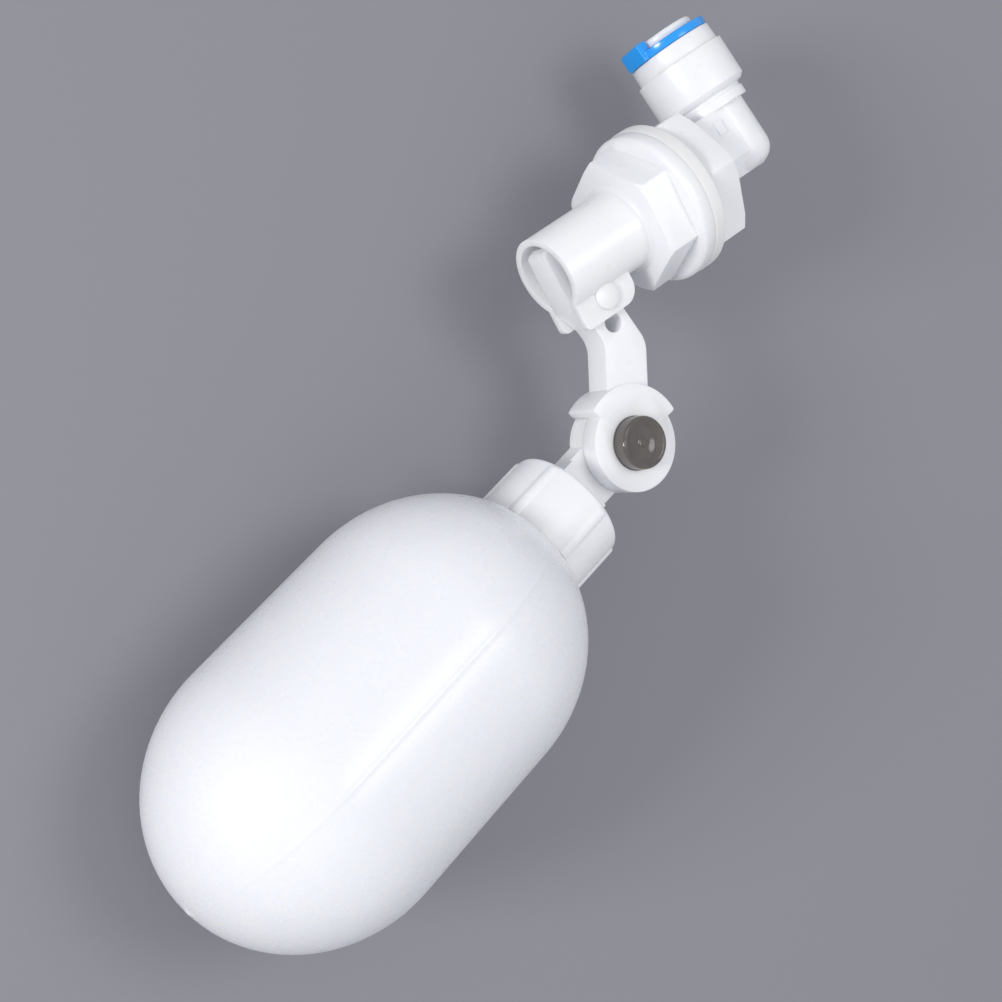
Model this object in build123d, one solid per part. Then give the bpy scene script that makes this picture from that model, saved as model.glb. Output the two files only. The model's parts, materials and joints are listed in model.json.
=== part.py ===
"""Float valve with a quarter-inch push-fit elbow, an adjustable lever arm and a blow-moulded float.

Row frame: X is the valve body's axis and points to the supply side, Z is the lever's hinge axis, and the
origin is on the body's axis in the flange's rear face, which seals against the tank wall.
"""
import os
from math import cos, pi, radians, sin, tan

from build123d import *

# ---- valve body (X stations are measured from the sealing plane) -----------------------------------------
MOUTH_X = -22.0
TUBE_R = 5.9
HEX_FRONT_X = -7.5
HEX_BACK_X = -2.9
HEX_R = 10.1
HEX_CHAMFER_R = 9.3
FLANGE_R = 11.2
FLANGE_T = 2.4
NECK_R = 9.0
BORE_R = 4.9
BORE_END_X = -7.4
NOZZLE_R = 2.3
NOZZLE_X = -9.4
WATERWAY_R = 1.3
STUD_R = 6.5
STUD_END_X = 7.9
SPIGOT_BORE_R = 4.3
SPIGOT_BORE_X = -1.5
EAR_OUT_Z = 3.4
EAR_IN_Z = 2.35
EAR_BOTTOM_Y = -8.75
EAR_END_X = -11.75
SLOT_END_X = -12.2
PLUNGER_HALF = 3.45
TAIL_X, NOSE_X = -19.65, -11.6
SEAL_R = 2.9
SEAL_SEAT = 1.2

# ---- lever hinge -----------------------------------------------------------------------------------------
PIN_X, PIN_Y = -16.8, -6.0
PIN_R = 1.0
PIN_HEAD_R = 1.9
PIN_HEAD_T = 0.75

# ---- wall fixing -----------------------------------------------------------------------------------------
GASKET_R = 11.3
GASKET_T = 2.2
NUT_R = 10.8
NUT_BACK_X = 7.8
NUT_TURN = 22.5

# ---- push-fit elbow (built with its socket along +Y, then turned about X) --------------------------------
ELBOW_TURN = -12.0
SOCKET_X = 17.15
BLOCK_FRONT_X = 8.15
BLOCK_Z = 4.7
POST_R = 4.9
BLOCK_LOW_Y = -3.6
BLOCK_TOP_Y = 5.9
PAD_Z = 0.25
SPIGOT_R = 4.22
SPIGOT_TIP_X = -1.1
GROOVE_R = 3.3
ELBOW_WAY_R = 1.6
RING_R = 5.85
BARREL_R = 6.95
BARREL_Y1 = 15.0
SOCKET_BORE_R = 5.3
SEAL_SHELF_Y = 9.6
CAP_R = 6.4
CAP_Y1 = 17.6
TUBE_PORT_R = 3.25
COLLET_TIP_Y = 12.9
COLLET_TIP_R = 4.55
COLLET_NECK_R = 3.95
COLLET_FLANGE_R = 4.7
COLLET_FLANGE_Y = 18.95
COLLET_TOP_Y = 20.1
TEETH_R = 3.7
TEETH_Y0, TEETH_Y1 = 13.0, 13.35
CLIP_R = 6.35
TAB_IN, TAB_OUT = 4.9, 6.7
TAB_HALF = 2.3
TAB_TOP_Y = 20.3

# ---- lever arm (local joint point J, arm direction from J up to the bend) --------------------------------
ARM_Z = 2.2
JOINT_X, JOINT_Y = -23.3, -25.6
ARM_DEG = 60.5
BEND_X, BEND_Y = -16.6, -13.2
ARM_W = 6.9
ARM_W_TOP = 5.5
LEG_X0, LEG_X1 = -22.0, -20.0
LEG_TOP_Y = 3.75
EYE_R = 2.3
HOLE_X, HOLE_Y, HOLE_R = -17.0, -9.9, 1.4
DRUM_R = 6.8
DRUM_Z = 3.16
COLLAR_R0, COLLAR_R1 = 6.95, 8.25
COLLAR_HALF = 57.0

# ---- button lock -----------------------------------------------------------------------------------------
BUTTON_R = 3.7
BUTTON_TOP_Z = 5.4
BUTTON_HOLE_R = 3.8
GEAR_R = 4.4
GEAR_ROOT_R = 3.8
GEAR_TEETH = 16
GEAR_Z0, GEAR_Z1 = -0.9, 2.1
CAVITY_Z = -2.35
SNAP_R0, SNAP_R1 = 5.15, 6.05
SPRING_R = 1.75
SPRING_WIRE_R = 0.28
SPRING_POCKET_Z = 0.6

# ---- float arm and float (s runs from J along the float's axis) ------------------------------------------
FLOAT_DEG = -170.4
PLATE_HALF = 4.1
CAP_S0, CAP_S1 = 12.6, 21.7
FLOAT_CAP_R = 8.6
RIBS = 6
RIB_TURN = 25
CAP_FLOOR = 1.2
STEP_S, STEP_Z = 8.3, 0.7
FLOAT_R = 20.0
FLOAT_WALL = 1.2
SHOULDER_S, HEEL_S = 41.7, 65.5
SHOULDER_A, HEEL_A = 21.8, 21.7
FLOAT_NECK_R = 6.6
FLOAT_NECK_S = 13.9

ELBOW = Rotation(ELBOW_TURN, 0, 0)
SOCKET_AXIS = Axis((SOCKET_X, 0, 0), (0, 1, 0))
FLOAT_PLACE = Pos(JOINT_X, JOINT_Y, 0) * Rotation(0, 0, FLOAT_DEG)


def turned_x(points):
    """Solid turned about the X axis from (x, radius) points."""
    return revolve(make_face(Polyline(*points, close=True)), Axis.X, 360)


def turned_socket(points):
    """Solid turned about the socket's axis from (radius, y) points."""
    outline = [(SOCKET_X + radius, y) for radius, y in points]
    return revolve(make_face(Polyline(*outline, close=True)), SOCKET_AXIS, 360)


def turned_z(points):
    """Solid turned about the Z axis from (radius, z) points."""
    outline = [(radius, 0, z) for radius, z in points]
    return revolve(make_face(Polyline(*outline, close=True)), Axis.Z, 360)


def block(x0, x1, y0, y1, z0, z1):
    """Axis-aligned block between two corners."""
    middle = Pos((x0 + x1) / 2, (y0 + y1) / 2, (z0 + z1) / 2)
    return middle * Box(x1 - x0, y1 - y0, z1 - z0)


def slab(outline, z0, z1):
    """Flat piece of a closed XY outline between two heights."""
    return extrude(Pos(0, 0, z0) * make_face(outline), z1 - z0, dir=(0, 0, 1))


def post_z(x, y, radius, z0, z1):
    """Cylinder along Z."""
    return Pos(x, y, (z0 + z1) / 2) * Cylinder(radius, z1 - z0)


def rod_x(radius, x0, x1):
    """Cylinder along X on the body's axis."""
    return turned_x([(x0, 0), (x1, 0), (x1, radius), (x0, radius)])


def hexagon(radius, x0, x1, turn):
    """Hexagonal prism along X, one corner at the given angle from +Y."""
    turns = [radians(turn + 60 * k) for k in range(6)]
    corners = [(radius * cos(angle), radius * sin(angle)) for angle in turns]
    outline = Polyline(*[(x0, y, z) for y, z in corners], close=True)
    return extrude(make_face(outline), x1 - x0, dir=(1, 0, 0))


def chamfer_cone(radius, corner_radius, x_face, x_far):
    """Turned blank that cuts a hexagon's corners back at the face x_face, at 30 degrees."""
    outer = corner_radius + 1
    run = (outer - radius) * tan(radians(30))
    x_full = x_face + run if x_far > x_face else x_face - run
    return turned_x([(x_face, 0), (x_face, radius), (x_full, outer), (x_far, outer), (x_far, 0)])


def radial_fillet(shape, radius, pick):
    """Fillet of the edges whose centre satisfies a test."""
    return fillet([edge for edge in shape.edges() if pick(edge)], radius)


def valve_body():
    hex_part = hexagon(HEX_R, HEX_FRONT_X, HEX_BACK_X, 0) & chamfer_cone(
        HEX_CHAMFER_R, HEX_R, HEX_FRONT_X, HEX_BACK_X)
    rim = 0.9
    flange = turned_x([(-FLANGE_T, 0), (-FLANGE_T, FLANGE_R), (0, FLANGE_R), (0, 0)])
    flange = radial_fillet(flange, rim, lambda edge: edge.center().X < -FLANGE_T + 0.1 and edge.length > 50)
    tube_foot = 0.8
    tube = turned_x([(MOUTH_X, 0), (MOUTH_X, TUBE_R - 0.2), (MOUTH_X + 0.2, TUBE_R),
                     (HEX_FRONT_X - tube_foot, TUBE_R), (HEX_FRONT_X, TUBE_R + tube_foot),
                     (HEX_FRONT_X + 1, 0)])
    lead = 0.6
    stud = turned_x([(-1, 0), (-1, STUD_R), (STUD_END_X - lead, STUD_R), (STUD_END_X, STUD_R - lead),
                     (STUD_END_X, 0)])
    ears = ear(EAR_IN_Z, EAR_OUT_Z) + ear(-EAR_OUT_Z, -EAR_IN_Z)
    body = hex_part + rod_x(NECK_R, HEX_BACK_X - 1, -1) + flange + tube + stud + ears
    body -= rod_x(BORE_R, MOUTH_X - 1, BORE_END_X)
    body -= block(MOUTH_X - 1, SLOT_END_X, EAR_BOTTOM_Y - 1, 0, -EAR_IN_Z, EAR_IN_Z)
    body += turned_x([(BORE_END_X - 0.5, 0), (BORE_END_X, BORE_R), (BORE_END_X + 1, BORE_R),
                      (BORE_END_X + 1, 0)])
    body += turned_x([(NOZZLE_X, 0), (NOZZLE_X, NOZZLE_R - 0.4), (BORE_END_X, NOZZLE_R + 0.3),
                      (BORE_END_X, 0)])
    body -= rod_x(WATERWAY_R, NOZZLE_X - 1, 1)
    body -= rod_x(SPIGOT_BORE_R, SPIGOT_BORE_X, STUD_END_X + 1)
    body -= post_z(PIN_X, PIN_Y, PIN_R, -10, 10)
    body -= post_z(PIN_X, PIN_Y, PIN_HEAD_R + 0.1, EAR_OUT_Z, 10)
    return body


def ear(z0, z1):
    """One hinge lug, flush with the outlet mouth and rounded at its two lower corners."""
    low, high = EAR_BOTTOM_Y, -3.0
    corner, nose = 0.9, 2.6
    x0, x1 = MOUTH_X, EAR_END_X
    outline = Curve() + [
        Line((x0, high), (x0, low + corner)),
        CenterArc((x0 + corner, low + corner), corner, 180, 90),
        Line((x0 + corner, low), (x1 - nose, low)),
        CenterArc((x1 - nose, low + nose), nose, 270, 90),
        Line((x1, low + nose), (x1, high)),
        Line((x1, high), (x0, high)),
    ]
    return slab(outline, z0, z1)


def pivot_pin():
    shank = post_z(PIN_X, PIN_Y, PIN_R, -EAR_OUT_Z - 0.35, EAR_OUT_Z)
    head = turned_z([(0, 0), (PIN_HEAD_R, 0), (PIN_HEAD_R, 0.3), (1.2, PIN_HEAD_T - 0.1),
                     (0, PIN_HEAD_T)])
    return shank + Pos(PIN_X, PIN_Y, EAR_OUT_Z) * head


def wall_gasket():
    edge, hole_r = 0.3, STUD_R + 0.05
    return turned_x([(0, hole_r), (0, GASKET_R - edge), (edge, GASKET_R), (GASKET_T - edge, GASKET_R),
                     (GASKET_T, GASKET_R - edge), (GASKET_T, hole_r)])


def lock_nut():
    front, face_r = GASKET_T + 0.02, NUT_R - 0.9
    nut = hexagon(NUT_R, front, NUT_BACK_X, NUT_TURN)
    nut &= chamfer_cone(face_r, NUT_R, front, NUT_BACK_X)
    nut &= chamfer_cone(face_r, NUT_R, NUT_BACK_X, front)
    return nut - rod_x(STUD_R + 0.08, 0, NUT_BACK_X + 1)


def plunger():
    """Square slider in the round bore, so water runs past its flats; the lever pushes its domed tail."""
    square_x, tail_r = -17.5, 2.0
    tail = turned_x([(TAIL_X, 0), (TAIL_X + 0.15, tail_r - 0.4), (TAIL_X + 0.6, tail_r),
                     (square_x + 0.2, tail_r), (square_x + 0.2, 0)])
    slider = block(square_x, NOSE_X, -PLUNGER_HALF, PLUNGER_HALF, -PLUNGER_HALF, PLUNGER_HALF)
    slider &= rod_x(BORE_R - 0.08, square_x, NOSE_X)
    return tail + slider - rod_x(SEAL_R, NOSE_X - SEAL_SEAT, NOSE_X + 1)


def plunger_seal():
    return rod_x(SEAL_R, NOSE_X - SEAL_SEAT, NOSE_X + 0.85)


def elbow_body():
    """Elbow moulding: spigot with its seal groove, chamfered block, post, ring and socket barrel."""
    groove_x0, groove_x1 = 1.4, 3.2
    spigot = turned_x([(SPIGOT_TIP_X, 0), (SPIGOT_TIP_X, SPIGOT_R - 0.5), (SPIGOT_TIP_X + 0.5, SPIGOT_R),
                       (groove_x0, SPIGOT_R), (groove_x0, GROOVE_R), (groove_x1, GROOVE_R),
                       (groove_x1, SPIGOT_R), (BLOCK_FRONT_X + 1, SPIGOT_R), (BLOCK_FRONT_X + 1, 0)])
    cut = 2.6
    low, top, half = BLOCK_LOW_Y, BLOCK_TOP_Y, BLOCK_Z
    section = Polyline((BLOCK_FRONT_X, low, -half + cut), (BLOCK_FRONT_X, low, half - cut),
                       (BLOCK_FRONT_X, low + cut, half), (BLOCK_FRONT_X, top, half),
                       (BLOCK_FRONT_X, top, -half), (BLOCK_FRONT_X, low + cut, -half), close=True)
    arm = extrude(make_face(section), SOCKET_X - BLOCK_FRONT_X, dir=(1, 0, 0))
    neck_y, ring_y0, ring_y1, barrel_y = top + 0.1, 6.3, 7.6, 8.35
    post = turned_socket([(0, low), (POST_R - 2.8, low), (POST_R - 1.2, low + 0.75),
                          (POST_R - 0.3, low + 1.9), (POST_R, low + 3.2),
                          (POST_R, top), (4.5, neck_y), (4.5, ring_y0), (RING_R - 0.25, ring_y0),
                          (RING_R, ring_y0 + 0.25), (RING_R, ring_y1 - 0.3), (RING_R - 0.25, ring_y1),
                          (RING_R - 0.25, barrel_y), (BARREL_R - 0.7, barrel_y),
                          (BARREL_R, barrel_y + 0.75), (BARREL_R, BARREL_Y1), (0, BARREL_Y1)])
    pad = block(SOCKET_X - 4.7, SOCKET_X - 3.1, 2.9, 5.0, BLOCK_Z - 0.2, BLOCK_Z + PAD_Z)
    body = spigot + arm + post + pad
    body -= turned_socket([(0, 6.5), (TUBE_PORT_R, 6.5), (TUBE_PORT_R, SEAL_SHELF_Y),
                           (SOCKET_BORE_R, SEAL_SHELF_Y), (SOCKET_BORE_R, BARREL_Y1 + 1), (0, BARREL_Y1 + 1)])
    body -= turned_socket([(0, -ELBOW_WAY_R), (ELBOW_WAY_R, -ELBOW_WAY_R), (ELBOW_WAY_R, 7), (0, 7)])
    body -= rod_x(ELBOW_WAY_R, SPIGOT_TIP_X - 1, SOCKET_X)
    return ELBOW * body


def elbow_oring():
    """Seal in the spigot's groove, squeezed to the bore."""
    tube_r = (SPIGOT_BORE_R - GROOVE_R) / 2 - 0.01
    ring = Rotation(0, 90, 0) * Torus(GROOVE_R + tube_r, tube_r)
    return Pos(2.3, 0, 0) * ring


def socket_cap():
    """Turned-in mouth ring that keeps the collet in the barrel."""
    lip_r, skirt_r, skirt_y, edge = COLLET_NECK_R + 0.08, 4.7, 13.4, 0.2
    return ELBOW * turned_socket([(lip_r, BARREL_Y1), (skirt_r, BARREL_Y1), (skirt_r, skirt_y),
                                  (SOCKET_BORE_R, skirt_y), (SOCKET_BORE_R, BARREL_Y1), (CAP_R, BARREL_Y1),
                                  (CAP_R, CAP_Y1 - edge), (CAP_R - edge, CAP_Y1), (lip_r, CAP_Y1)])


def tube_oring():
    ring_r = (SOCKET_BORE_R - TUBE_PORT_R) / 2 - 0.01
    ring = Rotation(90, 0, 0) * Torus(TUBE_PORT_R + ring_r + 0.01, ring_r)
    return ELBOW * (Pos(SOCKET_X, SEAL_SHELF_Y + ring_r + 0.01, 0) * ring)


def oring_spacer():
    low, high, outer = 11.7, 12.3, SOCKET_BORE_R - 0.05
    return ELBOW * turned_socket([(TUBE_PORT_R, low), (outer, low), (outer, high), (TUBE_PORT_R, high)])


def collet():
    """Sleeve with four fingers, a neck for the clip and a push flange."""
    tip_y1, edge = 14.3, 0.35
    sleeve = turned_socket([(TUBE_PORT_R, COLLET_TIP_Y), (COLLET_TIP_R - 0.45, COLLET_TIP_Y),
                            (COLLET_TIP_R, COLLET_TIP_Y + 0.6), (COLLET_TIP_R, tip_y1),
                            (COLLET_NECK_R, tip_y1), (COLLET_NECK_R, COLLET_FLANGE_Y),
                            (COLLET_FLANGE_R, COLLET_FLANGE_Y), (COLLET_FLANGE_R, COLLET_TOP_Y - edge),
                            (COLLET_FLANGE_R - edge, COLLET_TOP_Y), (TUBE_PORT_R + edge, COLLET_TOP_Y),
                            (TUBE_PORT_R, COLLET_TOP_Y - edge)])
    sleeve -= finger_slots(0.35)
    sleeve -= turned_socket([(0, TEETH_Y0), (TEETH_R, TEETH_Y0), (TEETH_R, TEETH_Y1), (0, TEETH_Y1)])
    return ELBOW * sleeve


def finger_slots(half):
    """Two crossed cutters through the collet's inner end."""
    low, high, reach = 12, 16.4, 6
    across_z = block(SOCKET_X - half, SOCKET_X + half, low, high, -reach, reach)
    across_x = block(SOCKET_X - reach, SOCKET_X + reach, low, high, -half, half)
    return across_z + across_x


def grip_teeth():
    """Four stainless segments seated in the collet's fingers."""
    low, high = TEETH_Y0 + 0.02, TEETH_Y1 - 0.02
    band = turned_socket([(TUBE_PORT_R, low), (TEETH_R, low), (TEETH_R, high), (TUBE_PORT_R, high)])
    return ELBOW * (band - finger_slots(0.55))


def lock_clip():
    """U-shaped clip under the collet's flange, with a pull tab on the nut's side."""
    y0, y1 = CAP_Y1 + 0.08, COLLET_FLANGE_Y - 0.1
    edge_r = CLIP_R - 0.15
    ring = turned_socket([(0, y0), (edge_r, y0), (CLIP_R, y0 + 0.2), (CLIP_R, y1 - 0.2), (edge_r, y1),
                          (0, y1)])
    half = COLLET_NECK_R + 0.07
    ring -= turned_socket([(0, y0 - 1), (half, y0 - 1), (half, y1 + 1), (0, y1 + 1)])
    ring -= block(SOCKET_X, SOCKET_X + 8, y0 - 1, y1 + 1, -half, half)
    tab = block(SOCKET_X - TAB_OUT, SOCKET_X - TAB_IN, y0, TAB_TOP_Y, -TAB_HALF, TAB_HALF)
    return ELBOW * (ring + tab)


def lever_outline():
    """Dog-leg plate: joint end, bend, hinge eye and the leg that reaches up inside the mouth."""
    up = (cos(radians(ARM_DEG)), sin(radians(ARM_DEG)))
    side = (-up[1], up[0])
    start = 7.4
    base = (JOINT_X + up[0] * start - 0.25, JOINT_Y + up[1] * start + 0.16)
    half, top = ARM_W / 2, ARM_W_TOP / 2
    points = [
        (base[0] + side[0] * half, base[1] + side[1] * half),
        (BEND_X - 3.1, BEND_Y + 1.55),
        (BEND_X - 3.6, -9.0),
        (LEG_X0, -5.4),
        (LEG_X0, LEG_TOP_Y - 0.8),
        (LEG_X0 + 0.4, LEG_TOP_Y - 0.4),
        (LEG_X1 - 0.4, LEG_TOP_Y),
        (LEG_X1, LEG_TOP_Y - 0.4),
        (LEG_X1, -4.0),
        (PIN_X - 1.0, -4.0),
        (PIN_X + 1.0, -4.0),
        (PIN_X + 2.2, -5.6),
        (PIN_X + 2.5, -7.5),
        (BEND_X + 2.2, -9.0),
        (BEND_X + top + 0.35, BEND_Y - 1.55),
        (base[0] - side[0] * half, base[1] - side[1] * half),
    ]
    return Polyline(*points, close=True)


def upper_arm():
    body = slab(lever_outline(), -ARM_Z, ARM_Z)
    vertical = [edge for edge in body.edges() if abs(edge.length - 2 * ARM_Z) < 0.01]
    bend = [edge for edge in vertical if abs(edge.center().Y - BEND_Y) < 2.0]
    body = fillet(bend, 1.2)
    body += post_z(PIN_X, PIN_Y, EYE_R, -ARM_Z, ARM_Z)
    body -= post_z(PIN_X, PIN_Y, PIN_R + 0.06, -5, 5)
    body -= post_z(HOLE_X, HOLE_Y, HOLE_R, -5, 5)
    body += collar()
    body += Pos(JOINT_X, JOINT_Y, 0) * front_disc()
    split_z, groove_in, groove_out = 0.05, SNAP_R0 - 0.1, SNAP_R1 + 0.1
    body -= post_z(JOINT_X, JOINT_Y, COLLAR_R0, -2 * DRUM_Z, split_z)
    groove = turned_z([(groove_in, -0.1), (groove_out - 0.2, -0.1), (groove_out - 0.2, 0.62),
                       (groove_out, 0.62), (groove_out, 1.35), (groove_in, 1.35)])
    return body - Pos(JOINT_X, JOINT_Y, 0) * groove


def collar():
    """Crescent round the joint drum, centred on the arm."""
    reach, inner = 14, COLLAR_R0 - 0.6
    turns = [radians(ARM_DEG + COLLAR_HALF * k / 2) for k in range(-2, 3)]
    wedge = Polyline((0, 0), *[(reach * cos(turn), reach * sin(turn)) for turn in turns], close=True)
    ring = turned_z([(inner, -DRUM_Z), (COLLAR_R1, -DRUM_Z), (COLLAR_R1, DRUM_Z), (inner, DRUM_Z)])
    crescent = ring & slab(wedge, -DRUM_Z, DRUM_Z)
    tips = [edge for edge in crescent.edges() if abs(edge.length - 2 * DRUM_Z) < 0.01
            and edge.center().length > COLLAR_R1 - 0.2]
    crescent = fillet(tips, 0.7)
    return Pos(JOINT_X, JOINT_Y, 0) * crescent


def front_disc():
    """Half drum on the lever: a lipped hole for the button over a toothed cavity."""
    split_z, edge, gap = 0.05, 0.35, 0.12
    disc = turned_z([(0, split_z), (DRUM_R, split_z), (DRUM_R, DRUM_Z - edge), (DRUM_R - edge, DRUM_Z),
                     (0, DRUM_Z)])
    disc -= Cylinder(BUTTON_HOLE_R, 20)
    return disc - slab(tooth_outline(GEAR_R + gap, GEAR_ROOT_R + gap), -1, GEAR_Z1 + 0.1)


def tooth_outline(tip_r, root_r):
    """Closed outline of straight-sided teeth."""
    points = []
    for k in range(GEAR_TEETH):
        for radius, part in ((root_r, 0.0), (root_r, 0.28), (tip_r, 0.42), (tip_r, 0.86)):
            angle = 2 * pi * (k + part) / GEAR_TEETH
            points.append((radius * cos(angle), radius * sin(angle)))
    return Polyline(*points, close=True)


def lock_gear():
    gear = slab(tooth_outline(GEAR_R, GEAR_ROOT_R), GEAR_Z0, GEAR_Z1)
    gear -= post_z(0, 0, 2.35, GEAR_Z0 - 1, SPRING_POCKET_Z)
    return Pos(JOINT_X, JOINT_Y, 0) * gear


def joint_button():
    """Dished push button standing on the gear."""
    rim = 0.45
    button = turned_z([(0, GEAR_Z1), (BUTTON_R, GEAR_Z1), (BUTTON_R, BUTTON_TOP_Z - rim),
                       (BUTTON_R - rim, BUTTON_TOP_Z), (2.75, BUTTON_TOP_Z), (1.9, BUTTON_TOP_Z - 0.35),
                       (0, BUTTON_TOP_Z - 0.4)])
    return Pos(JOINT_X, JOINT_Y, 0) * button


def joint_spring():
    """Compression spring between the gear and the float arm's floor."""
    coils = 3
    low = CAVITY_Z + SPRING_WIRE_R + 0.06
    high = SPRING_POCKET_Z - SPRING_WIRE_R - 0.04
    path = Helix(pitch=(high - low) / coils, height=high - low, radius=SPRING_R)
    section = Plane(origin=path @ 0, z_dir=path % 0) * Circle(SPRING_WIRE_R)
    return Pos(JOINT_X, JOINT_Y, low) * sweep(section, path=path)


def float_arm():
    """Back half drum with its snap ring, neck plate and the ribbed screw cap, in one moulding."""
    disc = turned_z([(0, -DRUM_Z), (DRUM_R - 0.35, -DRUM_Z), (DRUM_R, -DRUM_Z + 0.35), (DRUM_R, 0), (0, 0)])
    bead_in = SNAP_R1 - 0.2
    snap = turned_z([(SNAP_R0, -0.3), (bead_in, -0.3), (bead_in, 0.72), (SNAP_R1, 0.8), (SNAP_R1, 1.1),
                     (bead_in, 1.25), (SNAP_R0, 1.25)])
    plate_end = CAP_S0 + 0.8
    plate = block(4.5, plate_end, -PLATE_HALF, PLATE_HALF, -DRUM_Z, 0)
    step = block(STEP_S, plate_end, -PLATE_HALF, PLATE_HALF, -DRUM_Z, STEP_Z)
    edge = 0.4
    cap = turned_x([(CAP_S0, 0), (CAP_S0, FLOAT_CAP_R - edge), (CAP_S0 + edge, FLOAT_CAP_R),
                    (CAP_S1, FLOAT_CAP_R), (CAP_S1, 0)])
    for k in range(RIBS):
        cap += Rotation(RIB_TURN + 360 / RIBS * k, 0, 0) * cap_rib()
    floor_s, socket_r = CAP_S0 + CAP_FLOOR, FLOAT_NECK_R + 0.05
    lead, lead_r = 0.7, FLOAT_CAP_R - 0.4
    cap -= turned_x([(floor_s, 0), (floor_s, socket_r), (CAP_S1 - lead, socket_r), (CAP_S1, lead_r),
                     (CAP_S1 + 1, lead_r), (CAP_S1 + 1, 0)])
    cavity_r = GEAR_R + 0.35
    cavity = turned_z([(0, CAVITY_Z), (cavity_r, CAVITY_Z), (cavity_r, 1), (0, 1)])
    return FLOAT_PLACE * (disc + plate + step + cap + snap - cavity)


def cap_rib():
    """Round grip rib that stands a little proud of the cap."""
    rib_r, proud, short = 0.9, 0.28, 0.4
    length = CAP_S1 - CAP_S0 - short
    rod = Rotation(0, 90, 0) * Cylinder(rib_r, length)
    return Pos(CAP_S1 - length / 2, FLOAT_CAP_R - rib_r + proud, 0) * rod


def dome_profile(inset):
    """Half outline of the float, at a depth below its skin: neck side dome, then heel dome."""
    radius, front_a, heel_a = FLOAT_R - inset, SHOULDER_A - inset, HEEL_A - inset
    steps = 14
    first = (1 - ((FLOAT_NECK_R - inset) / radius) ** 2) ** 0.5
    points = []
    for k in range(steps + 1):
        u = first * cos(k / steps * pi / 2)
        points.append((SHOULDER_S - front_a * u, radius * (1 - u * u) ** 0.5))
    for k in range(steps + 1):
        angle = k / steps * pi / 2
        points.append((HEEL_S + heel_a * sin(angle), radius * cos(angle)))
    return points


def float_shell():
    """Closed hollow float with a plain neck that screws into the cap."""
    outer = dome_profile(0)
    inner = dome_profile(FLOAT_WALL)
    skin = dome_solid([(FLOAT_NECK_S, 0), (FLOAT_NECK_S, FLOAT_NECK_R)], outer)
    hollow = dome_solid([(FLOAT_NECK_S - 1, 0), (FLOAT_NECK_S - 1, FLOAT_NECK_R - FLOAT_WALL)], inner)
    return FLOAT_PLACE * (skin - hollow)


def dome_solid(neck, outline):
    """Solid of revolution with spline domes and straight walls."""
    half = len(outline) // 2
    front, back = outline[:half], outline[half:]
    curve = Curve() + [
        Polyline(*neck, front[0]),
        Spline(*front, tangents=[(0.25, 1), (1, 0)]),
        Line(front[-1], back[0]),
        Spline(*back, tangents=[(1, 0), (0, -1)]),
        Line(back[-1], neck[0]),
    ]
    return revolve(make_face(curve), Axis.X, 360)


def float_seal():
    """Flat washer between the float's neck and the cap's floor."""
    low, high = CAP_S0 + CAP_FLOOR + 0.02, FLOAT_NECK_S - 0.02
    inner, outer = 3.2, FLOAT_NECK_R - 0.1
    return FLOAT_PLACE * turned_x([(low, inner), (low, outer), (high, outer), (high, inner)])


PIECES = {
    "valve_body": valve_body, "pivot_pin": pivot_pin, "wall_gasket": wall_gasket, "lock_nut": lock_nut,
    "plunger": plunger, "plunger_seal": plunger_seal, "elbow_body": elbow_body, "elbow_oring": elbow_oring,
    "socket_cap": socket_cap, "tube_oring": tube_oring, "oring_spacer": oring_spacer, "collet": collet,
    "grip_teeth": grip_teeth, "lock_clip": lock_clip, "upper_arm": upper_arm, "lock_gear": lock_gear,
    "joint_button": joint_button, "joint_spring": joint_spring, "float_arm": float_arm,
    "float_shell": float_shell, "float_seal": float_seal,
}

os.makedirs("parts", exist_ok=True)
for name, make in PIECES.items():
    piece = make()
    export_step(piece, f"parts/{name}.step")
    print(name, round(piece.volume, 2))
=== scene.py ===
# %% [markdown]
# # A float valve for a water tank
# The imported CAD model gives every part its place. Here each part gets the soft edges, mould marks and
# plastics of the real valve. Shapes are drawn in millimetres about the part's own axis, then put in place.

# %% Load the frame
import json
from math import cos, pi, radians, sin

import bpy
from mathutils import Matrix, Vector


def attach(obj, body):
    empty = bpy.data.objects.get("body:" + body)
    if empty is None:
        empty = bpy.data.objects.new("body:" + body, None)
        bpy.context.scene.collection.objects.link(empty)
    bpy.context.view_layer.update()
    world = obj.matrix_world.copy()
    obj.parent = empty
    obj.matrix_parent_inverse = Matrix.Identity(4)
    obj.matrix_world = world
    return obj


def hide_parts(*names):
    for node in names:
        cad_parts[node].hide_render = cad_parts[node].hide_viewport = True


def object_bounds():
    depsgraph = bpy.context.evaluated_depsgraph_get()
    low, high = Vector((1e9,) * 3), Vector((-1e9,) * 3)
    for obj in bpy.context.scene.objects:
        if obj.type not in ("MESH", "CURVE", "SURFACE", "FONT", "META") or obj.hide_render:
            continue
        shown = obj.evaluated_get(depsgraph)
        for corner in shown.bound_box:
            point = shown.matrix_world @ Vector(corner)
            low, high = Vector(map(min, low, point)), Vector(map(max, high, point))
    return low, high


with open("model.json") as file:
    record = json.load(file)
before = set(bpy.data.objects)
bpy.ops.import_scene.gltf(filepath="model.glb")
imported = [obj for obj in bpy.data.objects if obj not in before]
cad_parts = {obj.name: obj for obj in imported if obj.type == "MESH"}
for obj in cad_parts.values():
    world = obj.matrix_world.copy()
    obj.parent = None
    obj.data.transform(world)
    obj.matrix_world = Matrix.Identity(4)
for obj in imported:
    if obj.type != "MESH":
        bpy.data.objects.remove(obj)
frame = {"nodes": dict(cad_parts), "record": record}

CAD_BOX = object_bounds()
MM = 0.001

# %% [markdown]
# ## Camera
# The camera comes first, so that every part is judged from the view that matters. It stands above the float's
# heel side, looks down at the middle of the valve and is rolled so that the lever runs up the picture.

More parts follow.
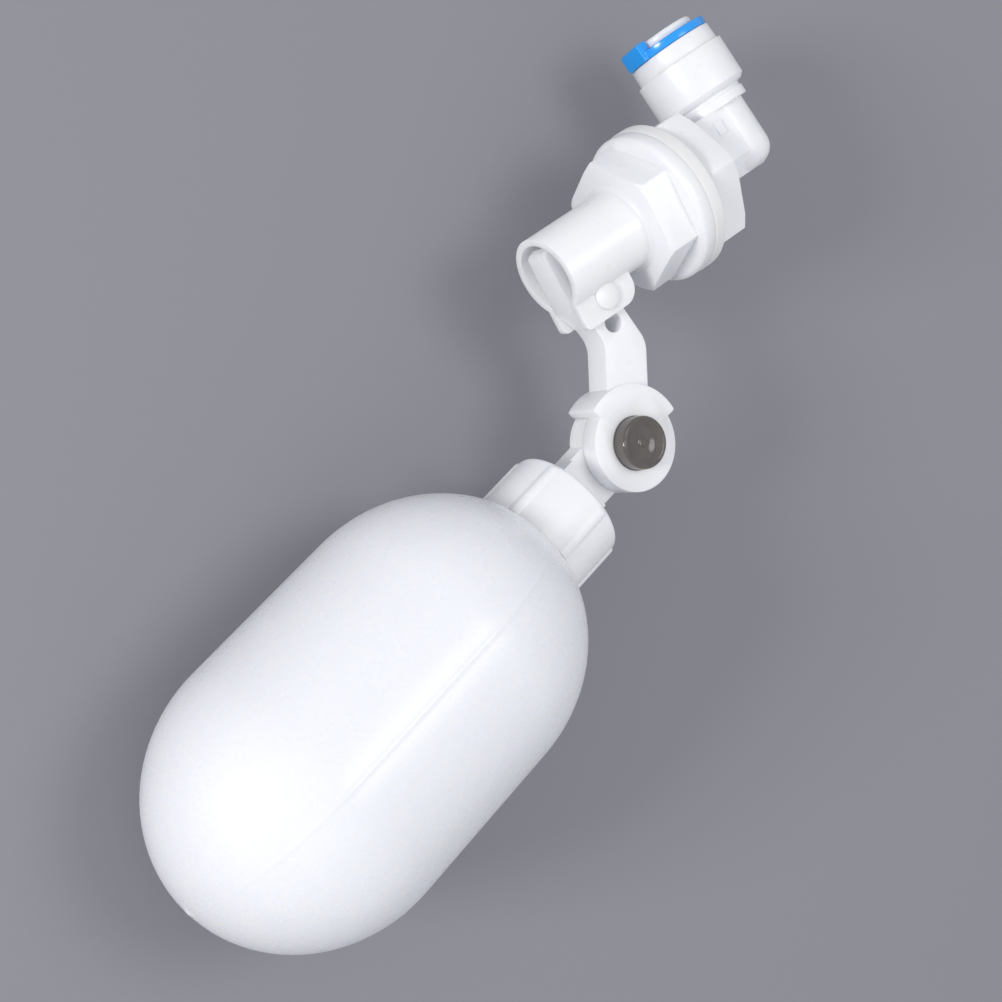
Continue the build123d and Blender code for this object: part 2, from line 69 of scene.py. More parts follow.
# %% Camera
AIM = Vector((-0.0445, -0.0217, 0.0))
CAMERA_PLACE = Vector((-0.1539, 0.0431, 0.2073))
CAMERA_ROLL = radians(88.3)


def add_camera():
    data = bpy.data.cameras.new("camera")
    data.lens = 65.26
    data.clip_start = 0.01
    camera = bpy.data.objects.new("camera", data)
    bpy.context.scene.collection.objects.link(camera)
    look = (AIM - CAMERA_PLACE).to_track_quat("-Z", "Y").to_matrix().to_4x4()
    camera.matrix_world = Matrix.Translation(CAMERA_PLACE) @ look @ Matrix.Rotation(CAMERA_ROLL, 4, "Z")
    bpy.context.scene.camera = camera
    return camera


camera = add_camera()
print("camera stands", round((AIM - CAMERA_PLACE).length, 3), "m from its aim")

# %% [markdown]
# ## Places to model in
# Every turned part is modelled upright about the Z axis in millimetres. A place matrix then lays that Z axis
# along the part's real axis and brings it to metres, and the transform is applied.

# %% Places
ELBOW_TURN = radians(-12.0)
SOCKET_X = 17.15
JOINT = Vector((-23.3, -25.6, 0.0))
FLOAT_TURN = radians(-170.4)
PIN = Vector((-16.8, -6.0, 0.0))


def axes_at(origin, x_axis, z_axis):
    """Matrix from a part's own axes to the row frame, both in millimetres."""
    z_axis = Vector(z_axis).normalized()
    x_axis = Vector(x_axis).normalized()
    turn = Matrix((x_axis, z_axis.cross(x_axis), z_axis)).transposed().to_4x4()
    return Matrix.Translation(origin) @ turn


SOCKET_DIR = Vector((0, cos(ELBOW_TURN), sin(ELBOW_TURN)))
FLOAT_DIR = Vector((cos(FLOAT_TURN), sin(FLOAT_TURN), 0))
ON_BODY = axes_at((0, 0, 0), (0, 1, 0), (1, 0, 0))
ON_SOCKET = axes_at((SOCKET_X, 0, 0), (1, 0, 0), SOCKET_DIR)
ON_JOINT = axes_at(JOINT, (1, 0, 0), (0, 0, 1))
ON_FLOAT = axes_at(JOINT, (0, 0, 1), FLOAT_DIR)
print("float axis", [round(v, 3) for v in FLOAT_DIR])

# %% [markdown]
# ## Tools of the bench
# A turned part is a circle that is extruded and scaled from one height to the next, as it would be drawn by
# hand. A cut or a joint between solids is a Boolean modifier, and every edge that a mould would round gets a
# Bevel modifier limited by angle, so that curved walls stay as they are.

# %% Selecting and applying


def deselect():
    if bpy.context.object and bpy.context.object.mode != "OBJECT":
        bpy.ops.object.mode_set(mode="OBJECT")
    bpy.ops.object.select_all(action="DESELECT")


def pick(piece):
    deselect()
    piece.select_set(True)
    bpy.context.view_layer.objects.active = piece


def apply_modifier(piece, kind, **settings):
    pick(piece)
    modifier = piece.modifiers.new(kind.lower(), kind)
    for key, value in settings.items():
        setattr(modifier, key, value)
    bpy.ops.object.modifier_apply(modifier=modifier.name)


# %% Turned parts


def select_points(piece, test):
    """In edit mode, selects the points that pass a test of their place."""
    bpy.ops.mesh.select_all(action="DESELECT")
    bpy.ops.object.mode_set(mode="OBJECT")
    for point in piece.data.vertices:
        point.select = test(point.co)
    bpy.ops.object.mode_set(mode="EDIT")


def raise_seam(piece, radius, share):
    """Splits the two points where the mould halves meet and pulls the middle ones out."""
    spread = 0.012 * radius
    select_points(piece, lambda co: abs(co.y) < spread / 10)
    bpy.ops.mesh.bevel(offset=spread, segments=2, affect="VERTICES")
    select_points(piece, lambda co: abs(co.y) < spread / 10)
    grow = 1 + share
    bpy.ops.transform.resize(value=(grow, 1, 1), center_override=(0, 0, 0))


def turned(name, stations, sides=96, seam=0.0):
    """Solid of revolution about Z from (height, radius) stations along its skin, closed at both ends.

    A seam is the share of the radius by which two opposite mould lines stand proud."""
    deselect()
    speck = 0.004
    height, radius = stations[0][0], max(stations[0][1], speck)
    bpy.ops.mesh.primitive_circle_add(vertices=sides, radius=radius, location=(0, 0, height))
    piece = bpy.context.object
    piece.name = name
    bpy.ops.object.mode_set(mode="EDIT")
    if seam:
        raise_seam(piece, radius, seam)
    bpy.ops.mesh.select_all(action="SELECT")
    for new_height, new_radius in stations[1:]:
        new_radius = max(new_radius, speck)
        rise = {"value": (0, 0, new_height - height)}
        bpy.ops.mesh.extrude_edges_move(TRANSFORM_OT_translate=rise)
        grow = new_radius / radius
        bpy.ops.transform.resize(value=(grow, grow, 1), center_override=(0, 0, new_height))
        height, radius = new_height, new_radius
    bpy.ops.mesh.select_all(action="SELECT")
    bpy.ops.mesh.remove_doubles(threshold=2 * speck)
    bpy.ops.mesh.normals_make_consistent(inside=False)
    bpy.ops.object.mode_set(mode="OBJECT")
    bpy.ops.object.transform_apply(location=True, rotation=True, scale=True)
    return piece


def box(name, low, high):
    """Block between two corners."""
    deselect()
    low, high = Vector(low), Vector(high)
    bpy.ops.mesh.primitive_cube_add(size=1, location=(low + high) / 2)
    piece = bpy.context.object
    piece.name = name
    piece.scale = high - low
    bpy.ops.object.transform_apply(location=True, rotation=True, scale=True)
    return piece


def prism(name, corners, radius, low, high, turn=0.0):
    """Regular prism about Z, with one corner at the given angle."""
    deselect()
    bpy.ops.mesh.primitive_cylinder_add(vertices=corners, radius=radius, depth=high - low,
                                        location=(0, 0, (low + high) / 2))
    piece = bpy.context.object
    piece.name = name
    first = piece.data.vertices[0].co
    piece.rotation_euler.z = turn - Vector((1, 0)).angle_signed(Vector((first.x, -first.y)))
    bpy.ops.object.transform_apply(location=True, rotation=True, scale=True)
    return piece


def plate(name, outline, low, high):
    """Flat solid of a closed outline between two heights."""
    deselect()
    bpy.ops.mesh.primitive_circle_add(vertices=len(outline), radius=1, fill_type="NGON", location=(0, 0, 0))
    piece = bpy.context.object
    piece.name = name
    for point, (x, y) in zip(piece.data.vertices, outline):
        point.co = (x, y, low)
    bpy.ops.object.mode_set(mode="EDIT")
    bpy.ops.mesh.select_all(action="SELECT")
    bpy.ops.mesh.extrude_region_move(TRANSFORM_OT_translate={"value": (0, 0, high - low)})
    bpy.ops.mesh.select_all(action="SELECT")
    bpy.ops.mesh.normals_make_consistent(inside=False)
    bpy.ops.object.mode_set(mode="OBJECT")
    return piece


def round_corner(piece, test, radius, segments=8):
    """Bevels the edges whose two ends both pass a test of their place."""
    pick(piece)
    bpy.ops.object.mode_set(mode="EDIT")
    bpy.ops.mesh.select_mode(type="EDGE")
    bpy.ops.mesh.select_all(action="DESELECT")
    bpy.ops.object.mode_set(mode="OBJECT")
    points = piece.data.vertices
    for edge in piece.data.edges:
        edge.select = all(test(points[v].co) for v in edge.vertices)
    bpy.ops.object.mode_set(mode="EDIT")
    bpy.ops.mesh.bevel(offset=radius, segments=segments, affect="EDGES")
    bpy.ops.mesh.select_mode(type="VERT")
    bpy.ops.object.mode_set(mode="OBJECT")
    return piece


def arc(centre, radius, first, last, steps=6):
    """(height, radius) stations on a round corner; angles from the Z axis towards the outside."""
    turns = [radians(first + (last - first) * k / steps) for k in range(steps + 1)]
    return [(centre[0] + radius * cos(turn), centre[1] + radius * sin(turn)) for turn in turns]


def combine(piece, operation, *others):
    """Boolean of a piece with others, which are used up."""
    for other in others:
        apply_modifier(piece, "BOOLEAN", operation=operation, solver="EXACT", object=other)
        bpy.data.objects.remove(other)
    return piece


# %% Rounding and placing


def merge_flats(piece):
    """Joins the slivers that a Boolean leaves in flat faces."""
    pick(piece)
    bpy.ops.object.mode_set(mode="EDIT")
    bpy.ops.mesh.select_all(action="SELECT")
    bpy.ops.mesh.remove_doubles(threshold=0.01)
    bpy.ops.mesh.dissolve_limited(angle_limit=radians(0.4))
    bpy.ops.object.mode_set(mode="OBJECT")


def round_edges(piece, width, angle=28, segments=3):
    """Mould radius on every edge sharper than the angle."""
    merge_flats(piece)
    apply_modifier(piece, "BEVEL", width=width, segments=segments, limit_method="ANGLE",
                   angle_limit=radians(angle), miter_outer="MITER_ARC", harden_normals=False)
    return piece


def place(piece, matrix):
    pick(piece)
    piece.matrix_world = matrix
    bpy.ops.object.transform_apply(location=True, rotation=True, scale=True)
    return piece


def dress(piece, material, slot_name, body, *nodes, smooth=32):
    """Scale to metres, smooth shading, finish and the body that the piece rides on."""
    pick(piece)
    piece.scale = (MM,) * 3
    bpy.ops.object.transform_apply(location=True, rotation=True, scale=True)
    bpy.ops.object.shade_smooth_by_angle(angle=radians(smooth))
    piece.data.materials.clear()
    piece.data.materials.append(material)
    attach(piece, body)
    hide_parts(*nodes)
    print(piece.name, len(piece.data.polygons), "faces")
    return piece


# %% [markdown]
# ## Plastics
# The valve is moulded in a white acetal that lets a little light in. Its skin is satin, not perfect: the
# gloss drifts from place to place, and a very fine grain of the mould shows in the highlights. All of it is
# noise on Object coordinates, which stay fixed to the part.

# %% Material helpers


def noise(tree, scale, detail=3.0):
    """Noise in row-frame coordinates; the scale is in features per metre."""
    coords = tree.nodes.new("ShaderNodeTexCoord")
    texture = tree.nodes.new("ShaderNodeTexNoise")
    texture.inputs["Scale"].default_value = scale
    texture.inputs["Detail"].default_value = detail
    tree.links.new(coords.outputs["Object"], texture.inputs["Vector"])
    return texture.outputs["Fac"]


def spread(tree, value, low, high):
    """Maps the middle of a noise to a range."""
    node = tree.nodes.new("ShaderNodeMapRange")
    node.inputs["From Min"].default_value = 0.3
    node.inputs["From Max"].default_value = 0.7
    node.inputs["To Min"].default_value = low
    node.inputs["To Max"].default_value = high
    tree.links.new(value, node.inputs["Value"])
    return node.outputs["Result"]


def plastic(name, pale, deep, gloss, grain, settings):
    """Moulded plastic: two close tones, a drifting gloss and a fine grain of the mould.

    gloss is the lowest and highest roughness, grain the depth in metres of the skin's texture."""
    material = bpy.data.materials.new(name)
    material.use_nodes = True
    tree = material.node_tree
    shader = tree.nodes["Principled BSDF"]
    for socket, value in settings.items():
        shader.inputs[socket].default_value = value
    tones = tree.nodes.new("ShaderNodeMix")
    tones.data_type = "RGBA"
    tones.inputs[6].default_value = (*deep, 1)
    tones.inputs[7].default_value = (*pale, 1)
    tree.links.new(spread(tree, noise(tree, 160.0), 0.0, 1.0), tones.inputs[0])
    tree.links.new(tones.outputs[2], shader.inputs["Base Color"])
    tree.links.new(spread(tree, noise(tree, 420.0, 5.0), *gloss), shader.inputs["Roughness"])
    bump = tree.nodes.new("ShaderNodeBump")
    bump.inputs["Distance"].default_value = grain
    bump.inputs["Strength"].default_value = 0.6
    tree.links.new(noise(tree, 3800.0, 6.0), bump.inputs["Height"])
    tree.links.new(bump.outputs["Normal"], shader.inputs["Normal"])
    return material


# %% The valve's materials
SOFT_LIGHT = {"Subsurface Weight": 0.4, "Subsurface Radius": (0.7, 0.75, 0.9), "Subsurface Scale": 0.0016}
white = plastic("white_acetal", (0.91, 0.912, 0.93), (0.90, 0.903, 0.923), (0.27, 0.33), 0.000012, SOFT_LIGHT)
float_skin = plastic("float_skin", (0.89, 0.895, 0.925), (0.88, 0.886, 0.918), (0.25, 0.31), 0.00002, SOFT_LIGHT)
soft_white = plastic("silicone", (0.87, 0.865, 0.86), (0.85, 0.84, 0.83), (0.5, 0.62), 0.00003, SOFT_LIGHT)
seal_black = plastic("seal_rubber", (0.03, 0.03, 0.03), (0.015, 0.015, 0.016), (0.45, 0.6), 0.00003, {})
clip_blue = plastic("clip_blue", (0.012, 0.36, 0.95), (0.01, 0.32, 0.9), (0.16, 0.26), 0.000008,
                    {"Coat Weight": 0.4, "Coat Roughness": 0.12})
smoky = plastic("smoky_button", (0.44, 0.40, 0.37), (0.36, 0.33, 0.31), (0.04, 0.09), 0.000006,
                {"Transmission Weight": 0.82, "IOR": 1.49})
steel = plastic("spring_steel", (0.62, 0.62, 0.64), (0.55, 0.55, 0.57), (0.2, 0.34), 0.00001, {"Metallic": 1.0})
FINISHES = {"white_body": white, "float_white": float_skin, "soft_white": soft_white, "seal_rubber": seal_black,
            "clip_blue": clip_blue, "smoky_button": smoky, "spring_steel": steel}
for part in frame["record"]["subparts"]:
    mesh = frame["nodes"][part["node"]].data
    mesh.materials.clear()
    mesh.materials.append(FINISHES[part["material_slot"]])
print("finishes:", sorted(FINISHES))

# %% [markdown]
# ## Float
# The float is blow-moulded, so it has one smooth skin with a thin line where the two mould halves met, and a
# small nub at the heel where the tube of plastic was pinched off. It could be a subdivided capsule, but its
# domes are a little longer than round, so the skin is turned through stations on two ellipses. The circle
# that is extruded carries the mould line with it.

# %% Float
FLOAT_R = 20.0
FLOAT_NECK_R = 6.6
SHOULDER_S, SHOULDER_A = 41.7, 21.8
HEEL_S, HEEL_A = 65.5, 21.2
NUB_S = 86.85
SEAM_TURN = radians(11.0)
DOME_STEPS = 26


def dome(centre, reach, first, last):
    """Stations over part of an ellipse; the angles run from 0 on the axis to 90 at the full width."""
    stations = []
    for k in range(DOME_STEPS + 1):
        angle = radians(first + (last - first) * k / DOME_STEPS)
        stations.append((centre + reach * cos(angle), FLOAT_R * sin(angle)))
    return stations


def make_float():
    neck_angle = 19.27
    skin = [(13.9, 0), (13.9, FLOAT_NECK_R)]
    skin += dome(SHOULDER_S, -SHOULDER_A, neck_angle, 90)
    skin += dome(HEEL_S, HEEL_A, 90, 2.5)
    skin += [(NUB_S - 0.1, 0.62), (NUB_S, 0.4), (NUB_S, 0)]
    piece = turned("float_skin", skin, sides=144, seam=0.004)
    place(piece, ON_FLOAT @ Matrix.Rotation(SEAM_TURN, 4, "Z"))
    return dress(piece, float_skin, "float_white", "float", "float_shell", smooth=50)


make_float()

# %% [markdown]
# ## Float arm
# The cap, its grip ribs, the neck plate and the back half of the joint are one moulding. Each is drawn as a
# simple solid, they are joined, and one bevel rounds the whole outline as the mould does.

# %% Float arm
PLATE_HALF = 4.1
DRUM_R, DRUM_Z = 6.8, 3.16
CAP_S0, CAP_S1, CAP_R = 12.6, 22.1, 8.6


def make_float_arm():
    shoulder = 0.7
    profile = [(CAP_S0, 0)] + arc((CAP_S0 + shoulder, CAP_R - shoulder), shoulder, 180, 90)
    profile += [(CAP_S1, CAP_R), (CAP_S1, CAP_R - 0.4), (CAP_S1 - 0.7, 6.65), (CAP_S0 + 1.2, 6.65)]
    profile += [(CAP_S0 + 1.2, 0)]
    cap = turned("float_arm_skin", profile)
    rib_r, proud = 1.3, 0.3
    for k in range(6):
        turn = radians(25 + 60 * k)
        rib = prism("rib", 32, rib_r, CAP_S0 + 0.45, CAP_S1)
        round_corner(rib, lambda co: co.z < CAP_S0 + 0.5, 0.5, 4)
        place(rib, Matrix.Rotation(turn, 4, "Z") @ Matrix.Translation((0, CAP_R - rib_r + proud, 0)))
        combine(cap, "UNION", rib)
    combine(cap, "UNION", box("plate", (-DRUM_Z, -PLATE_HALF, 4.5), (0, PLATE_HALF, CAP_S0 + 0.8)),
            box("step", (-DRUM_Z, -PLATE_HALF, 8.3), (0.7, PLATE_HALF, CAP_S0 + 0.8)))
    place(cap, ON_FLOAT)
    disc = place(turned("disc", [(-DRUM_Z, 0), (-DRUM_Z, DRUM_R), (0, DRUM_R), (0, 0)]), ON_JOINT)
    combine(cap, "UNION", disc)
    hollow = place(turned("hollow", [(-2.35, 0), (-2.35, 4.75), (1, 4.75), (1, 0)]), ON_JOINT)
    combine(cap, "DIFFERENCE", hollow)
    round_edges(cap, 0.22)
    return dress(cap, white, "white_body", "float", "float_arm")


make_float_arm()

# %% [markdown]
# ## Valve body
# Outlet tube, flange and stud are one turned profile with the bore already in it. The hexagon is a six-sided
# cylinder kept inside a cone, which gives the curved 30 degree chamfer of a real hexagon, and the two hinge
# lugs are blocks with rounded corners. The slot for the lever is cut last, and one bevel softens it all.

# %% Valve body
MOUTH_X, TUBE_R, BORE_R = -22.0, 5.9, 4.9
HEX_FRONT_X, HEX_R = -7.5, 10.1
FLANGE_R, FLANGE_T, STUD_R = 11.2, 2.4, 6.5
EAR_IN_Z, EAR_OUT_Z, EAR_LOW_Y, EAR_END_X = 2.35, 3.4, -8.75, -11.75


def chamfered_hexagon(name, radius, face_r, low, high, turn, both=False):
    """Hexagonal prism about Z whose corners are cut back by a 30 degree cone at its low face, or at both."""
    piece = prism(name, 6, radius, low, high, turn)
    far = radius + 1
    run = (far - face_r) * 0.577
    top = [(high - run, far), (high, face_r)] if both else [(high, far)]
    blank = turned("blank", [(low, 0), (low, face_r), (low + run, far)] + top + [(high, 0)], sides=144)
    return combine(piece, "INTERSECT", blank)


def make_ear(low_z, high_z):
    ear = box("ear", (MOUTH_X, EAR_LOW_Y, low_z), (EAR_END_X, -3.0, high_z))
    round_corner(ear, lambda co: co.x > EAR_END_X - 0.1 and co.y < EAR_LOW_Y + 0.1, 2.6, 10)
    return round_corner(ear, lambda co: co.x < MOUTH_X + 0.1 and co.y < EAR_LOW_Y + 0.1, 0.9, 5)


def make_valve_body():
    rim = 0.9
    profile = [(-9.4, 1.3), (-9.4, 1.9), (-7.4, 2.6), (-7.4, BORE_R), (MOUTH_X, BORE_R), (MOUTH_X, TUBE_R)]
    profile += [(HEX_FRONT_X - 0.9, TUBE_R), (HEX_FRONT_X - 0.4, TUBE_R + 0.2), (HEX_FRONT_X + 0.1, TUBE_R + 0.9)]
    profile += [(-FLANGE_T, TUBE_R + 0.9)] + arc((rim - FLANGE_T, FLANGE_R - rim), rim, 180, 90)
    profile += [(0, FLANGE_R), (0, STUD_R), (7.9, STUD_R), (7.9, 4.3), (-1.5, 4.3), (-1.5, 1.3), (-9.4, 1.3)]
    body = turned("valve_body_skin", profile, sides=112)
    combine(body, "UNION", chamfered_hexagon("hex", HEX_R, 9.3, HEX_FRONT_X, 0.4 - FLANGE_T, 0.0))
    place(body, ON_BODY)
    combine(body, "UNION", make_ear(EAR_IN_Z, EAR_OUT_Z), make_ear(-EAR_OUT_Z, -EAR_IN_Z))
    slot = box("slot", (MOUTH_X - 1, EAR_LOW_Y - 1, -EAR_IN_Z), (-12.2, 0, EAR_IN_Z))
    bore = place(prism("bore", 64, BORE_R, MOUTH_X - 1, -12), ON_BODY)
    pin_hole = place(prism("pin_hole", 32, 1.0, -6, 6), Matrix.Translation(PIN))
    combine(body, "DIFFERENCE", slot, bore, pin_hole)
    round_edges(body, 0.26)
    return dress(body, white, "white_body", "valve", "valve_body")


make_valve_body()

# %% [markdown]
# ## Pin, gasket and nut
# The pin's head is a low dome. The gasket is a flat ring with soft edges, and the nut is the same chamfered
# hexagon as on the body, cut back on both faces.

# %% Pin, gasket and nut
PIN_HEAD_R, PIN_HEAD_T = 1.9, 0.75
GASKET_R, GASKET_T = 11.3, 2.2


def make_pin():
    base = EAR_OUT_Z
    dome_top = [(base + 0.35 + 0.4 * cos(radians(a)), PIN_HEAD_R * sin(radians(a))) for a in range(85, 0, -12)]
    pin = turned("pivot_pin_skin", [(-base - 0.35, 0), (-base - 0.35, 0.8), (-base - 0.15, 1.0), (base, 1.0),
                                    (base, PIN_HEAD_R)] + dome_top + [(base + PIN_HEAD_T, 0)], sides=64)
    place(pin, Matrix.Translation(PIN))
    round_edges(pin, 0.08)
    return dress(pin, white, "white_body", "valve", "pivot_pin", smooth=40)


def make_gasket():
    hole_r = STUD_R + 0.05
    ring = turned("wall_gasket_skin", [(0, hole_r), (0, GASKET_R), (GASKET_T, GASKET_R), (GASKET_T, hole_r),
                                       (0, hole_r)], sides=128)
    round_edges(place(ring, ON_BODY), 0.35, segments=4)
    return dress(ring, soft_white, "soft_white", "valve", "wall_gasket")


def make_nut():
    front, back = GASKET_T + 0.02, 7.8
    nut = chamfered_hexagon("lock_nut_skin", 10.8, 9.9, front, back, radians(22.5), both=True)
    combine(nut, "DIFFERENCE", prism("thread", 96, STUD_R + 0.08, -1, 12))
    round_edges(place(nut, ON_BODY), 0.35)
    return dress(nut, white, "white_body", "nut", "lock_nut")


make_pin()
make_gasket()
make_nut()

# %% [markdown]
# ## Push-fit elbow
# The socket, its groove, ring and post are turned about the socket's axis. The arm towards the stud is a
# block with its lower edges cut off, and the spigot that seals in the stud is turned about the body's axis.

# %% Elbow
TUBE_PORT_R, BARREL_R, BARREL_TOP = 3.25, 6.95, 15.0
BLOCK_X, BLOCK_HALF, BLOCK_LOW, BLOCK_TOP = 8.15, 4.7, -3.6, 6.5
POST_R, RING_R, CAP_TOP, MOUTH_RING_R = 4.9, 5.85, 17.6, 6.4
ON_ARM = Matrix.Rotation(ELBOW_TURN, 4, "X") @ ON_BODY


def make_elbow():
    heel = 3.0
    profile = [(BLOCK_LOW, 0)] + arc((BLOCK_LOW + heel, POST_R - heel), heel, 180, 90, 8)
    profile += [(6.3, POST_R), (6.3, RING_R)]
    profile += [(7.6, RING_R), (7.75, 5.6), (8.25, 5.6), (8.45, 6.3), (9.1, BARREL_R), (BARREL_TOP, BARREL_R)]
    profile += [(BARREL_TOP, 5.3), (9.6, 5.3), (9.6, TUBE_PORT_R), (6.5, TUBE_PORT_R), (6.5, 0)]
    elbow = place(turned("elbow_body_skin", profile, sides=112), ON_SOCKET)
    cut = 2.6
    low, high, half = BLOCK_LOW, BLOCK_TOP, BLOCK_HALF
    section = [(low, -half + cut), (low, half - cut), (low + cut, half), (high, half), (high, -half),
               (low + cut, -half)]
    arm = place(plate("arm", section, BLOCK_X, SOCKET_X + 1.6), ON_ARM)
    pad = place(box("pad", (2.9, 4.5, 12.45), (5.0, 4.95, 14.05)), ON_ARM)
    spigot = place(turned("spigot", [(-1.1, 0), (-1.1, 3.7), (-0.6, 4.22), (1.4, 4.22), (1.4, 3.3), (3.2, 3.3),
                                     (3.2, 4.22), (9.0, 4.22), (9.0, 0)]), ON_ARM)
    combine(elbow, "UNION", arm, spigot)
    round_edges(elbow, 0.28)
    combine(elbow, "UNION", round_edges(pad, 0.12))
    return dress(elbow, white, "white_body", "elbow", "elbow_body")


def make_mouth_ring():
    lip_r = 4.03
    ring = turned("socket_cap_skin", [(BARREL_TOP, lip_r), (BARREL_TOP, 4.7), (13.4, 4.7), (13.4, 5.3),
                                      (BARREL_TOP, 5.3), (BARREL_TOP, MOUTH_RING_R + 0.1), (CAP_TOP, MOUTH_RING_R),
                                      (CAP_TOP, lip_r), (BARREL_TOP, lip_r)], sides=112)
    round_edges(place(ring, ON_SOCKET), 0.12)
    return dress(ring, white, "white_body", "elbow", "socket_cap")


make_elbow()
make_mouth_ring()

# %% [markdown]
# ## Collet and lock clip
# The collet is a sleeve with a flange to push on. The blue clip is a ring with an opening for the neck and a
# tab to pull, so it is turned first, cut, joined to the tab and then rounded.

# %% Collet and clip
NECK_R, COLLET_FLANGE_R, COLLET_FLANGE_Y, COLLET_TOP_Y = 3.95, 4.7, 18.95, 20.1


def make_collet():
    rim = 0.5
    profile = [(12.9, TUBE_PORT_R), (12.9, 4.1), (13.5, 4.55), (14.3, 4.55), (14.3, NECK_R)]
    profile += [(COLLET_FLANGE_Y, NECK_R), (COLLET_FLANGE_Y, COLLET_FLANGE_R)]
    profile += arc((COLLET_TOP_Y - rim, COLLET_FLANGE_R - rim), rim, 90, 0)
    profile += [(COLLET_TOP_Y, TUBE_PORT_R), (12.9, TUBE_PORT_R)]
    sleeve = turned("collet_skin", profile)
    half = 0.35
    combine(sleeve, "DIFFERENCE", box("slot_a", (-6, -half, 12), (6, half, 16.4)),
            box("slot_b", (-half, -6, 12), (half, 6, 16.4)))
    round_edges(place(sleeve, ON_SOCKET), 0.2)
    return dress(sleeve, white, "white_body", "collet", "collet")


def make_clip():
    low, high = CAP_TOP + 0.08, COLLET_FLANGE_Y - 0.1
    inner, outer = NECK_R + 0.07, 6.35
    ring = turned("lock_clip_skin", [(low, inner), (low, outer), (high, outer), (high, inner), (low, inner)])
    combine(ring, "DIFFERENCE", box("opening", (0, -inner, low - 1), (8, inner, high + 1)))
    tab = box("tab", (-6.7, -2.3, low), (-4.9, 2.3, 20.3))
    round_corner(tab, lambda co: co.x < -6.6 and co.z > 20, 0.35, 4)
    combine(ring, "UNION", tab)
    round_edges(place(ring, ON_SOCKET), 0.22)
    return dress(ring, clip_blue, "clip_blue", "clip", "lock_clip")


make_collet()
make_clip()

# %% [markdown]
# ## Lever
# The lever is a dog-leg plate with a crescent and half of the joint's drum. The plate comes from its outline,
# the crescent is a piece of a ring, and the drum's hollow and holes are cut out of the joined solid.

# %% Lever
ARM_HALF_T = 2.2
ARM_DIR = Vector((cos(radians(60.5)), sin(radians(60.5)), 0))
BEND = Vector((-16.6, -13.2, 0))
COLLAR_R = 8.25


def lever_outline():
    """Joint end, bend, hinge eye and the leg that reaches up inside the outlet."""
    side = Vector((-ARM_DIR.y, ARM_DIR.x, 0))
    base = JOINT + ARM_DIR * 7.4 + Vector((-0.25, 0.16, 0))
    left, right = base + side * 3.45, base - side * 3.45
    leg_out, leg_in, leg_top = -22.0, -20.0, 3.75
    return [(left.x, left.y), (BEND.x - 3.1, BEND.y + 1.55), (BEND.x - 3.6, -9.0), (leg_out, -5.4),
            (leg_out, leg_top - 0.8), (leg_out + 0.4, leg_top - 0.4), (leg_in - 0.4, leg_top),
            (leg_in, leg_top - 0.4), (leg_in, -4.0), (PIN.x + 1.0, -4.0), (PIN.x + 2.2, -5.6),
            (PIN.x + 2.5, -7.5), (BEND.x + 2.2, -9.0), (BEND.x + 3.1, BEND.y - 1.55), (right.x, right.y)]


def make_crescent():
    ring = turned("crescent", [(-DRUM_Z, 6.2), (-DRUM_Z, COLLAR_R), (DRUM_Z, COLLAR_R), (DRUM_Z, 6.2),
                               (-DRUM_Z, 6.2)], sides=128)
    reach, half = 14, 57
    turns = [radians(60.5 + half * k / 2) for k in range(-2, 3)]
    wedge = plate("wedge", [(0, 0)] + [(reach * cos(t), reach * sin(t)) for t in turns], -DRUM_Z - 1, DRUM_Z + 1)
    combine(ring, "INTERSECT", wedge)
    tips = [radians(60.5 - half), radians(60.5 + half)]
    corners = [Vector((COLLAR_R * cos(t), COLLAR_R * sin(t), 0)) for t in tips]
    round_corner(ring, lambda co: any((Vector((co.x, co.y, 0)) - c).length < 0.15 for c in corners), 0.7, 5)
    return place(ring, ON_JOINT)


def make_lever():
    lever = plate("upper_arm_skin", lever_outline(), -ARM_HALF_T, ARM_HALF_T)
    for corner in (BEND + Vector((3.1, -1.55, 0)), BEND + Vector((-3.1, 1.55, 0))):
        round_corner(lever, lambda co: (Vector((co.x, co.y, 0)) - corner).length < 0.1, 1.2, 5)
    eye = place(prism("eye", 48, 2.3, -ARM_HALF_T, ARM_HALF_T), Matrix.Translation(PIN))
    combine(lever, "UNION", eye)
    pin_hole = place(prism("pin_hole", 32, 1.06, -5, 5), Matrix.Translation(PIN))
    hole = place(prism("hole", 48, 1.4, -5, 5), Matrix.Translation((-17.0, -9.9, 0)))
    combine(lever, "DIFFERENCE", pin_hole, hole)
    round_edges(lever, 0.45, segments=4)
    disc = place(turned("disc", [(0.05, 0), (0.05, DRUM_R), (DRUM_Z, DRUM_R), (DRUM_Z, 0)], sides=128), ON_JOINT)
    crescent = make_crescent()
    combine(disc, "UNION", crescent)
    under = place(prism("under", 128, 6.95, -8, 0.05), ON_JOINT)
    bore = place(prism("bore", 96, 3.8, -5, 8), ON_JOINT)
    cavity = place(prism("cavity", 96, 4.5, -5, 2.2), ON_JOINT)
    combine(disc, "DIFFERENCE", under, bore, cavity)
    round_edges(disc, 0.4, segments=4)
    under = place(prism("under", 128, 6.95, -8, 8), ON_JOINT)
    combine(lever, "DIFFERENCE", under)
    combine(lever, "UNION", disc)
    return dress(lever, white, "white_body", "lever", "upper_arm")


make_lever()

# %% [markdown]
# ## Lock button
# A smoky clear button with a dished top and the small mark of its gate in the dish.

# %% Button
BUTTON_R, BUTTON_TOP = 3.7, 5.4


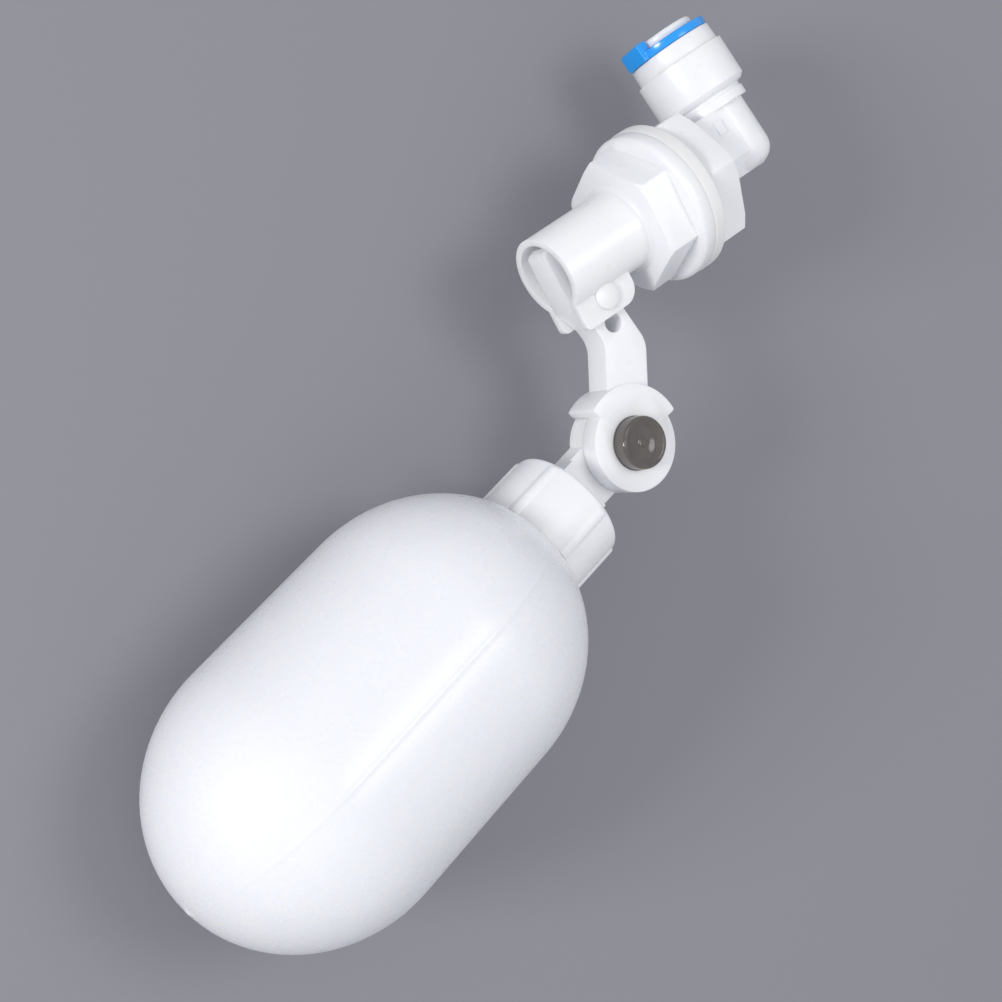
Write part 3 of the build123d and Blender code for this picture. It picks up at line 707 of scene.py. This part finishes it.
def make_button():
    rim = 0.4
    profile = [(2.1, 0), (2.1, BUTTON_R)] + arc((BUTTON_TOP - rim, BUTTON_R - rim), rim, 90, 0, 5)
    profile += [(BUTTON_TOP - 0.05, 2.95), (BUTTON_TOP - 0.45, 2.55), (BUTTON_TOP - 0.75, 1.8)]
    profile += [(BUTTON_TOP - 0.8, 0.65), (BUTTON_TOP - 0.55, 0.5), (BUTTON_TOP - 0.55, 0)]
    button = place(turned("joint_button_skin", profile, sides=96), ON_JOINT)
    return dress(button, smoky, "smoky_button", "button", "joint_button", smooth=50)


make_button()

# %% [markdown]
# ## Floor and light
# A plain pale floor under the float, and two softboxes on the two sides of the camera with a soft fill.

# %% Floor
FLOOR_Z = CAD_BOX[0][2]


def make_floor():
    deselect()
    bpy.ops.mesh.primitive_plane_add(size=6, location=(0, 0, FLOOR_Z))
    floor = bpy.context.object
    floor.name = "floor"
    material = bpy.data.materials.new("floor_paper")
    material.use_nodes = True
    shader = material.node_tree.nodes["Principled BSDF"]
    shader.inputs["Base Color"].default_value = (0.275, 0.275, 0.30, 1)
    shader.inputs["Roughness"].default_value = 0.8
    floor.data.materials.append(material)


make_floor()

# %% Lights


def softbox(name, direction, distance, size, power):
    data = bpy.data.lights.new(name, "AREA")
    data.shape = "DISK"
    data.size = size
    data.energy = power
    lamp = bpy.data.objects.new(name, data)
    bpy.context.scene.collection.objects.link(lamp)
    away = Vector(direction).normalized()
    place_at = AIM + away * distance
    lamp.matrix_world = Matrix.Translation(place_at) @ away.to_track_quat("Z", "Y").to_matrix().to_4x4()


softbox("left_softbox", (-0.855, 0.444, 0.45), 0.7, 0.2, 2.2)
softbox("right_softbox", (0.249, 0.017, 0.969), 0.7, 0.3, 0.9)

world = bpy.data.worlds.new("studio")
world.use_nodes = True
world.node_tree.nodes["Background"].inputs["Color"].default_value = (0.93, 0.95, 1.0, 1)
world.node_tree.nodes["Background"].inputs["Strength"].default_value = 0.66
bpy.context.scene.world = world
bpy.context.scene.view_settings.view_transform = "Standard"
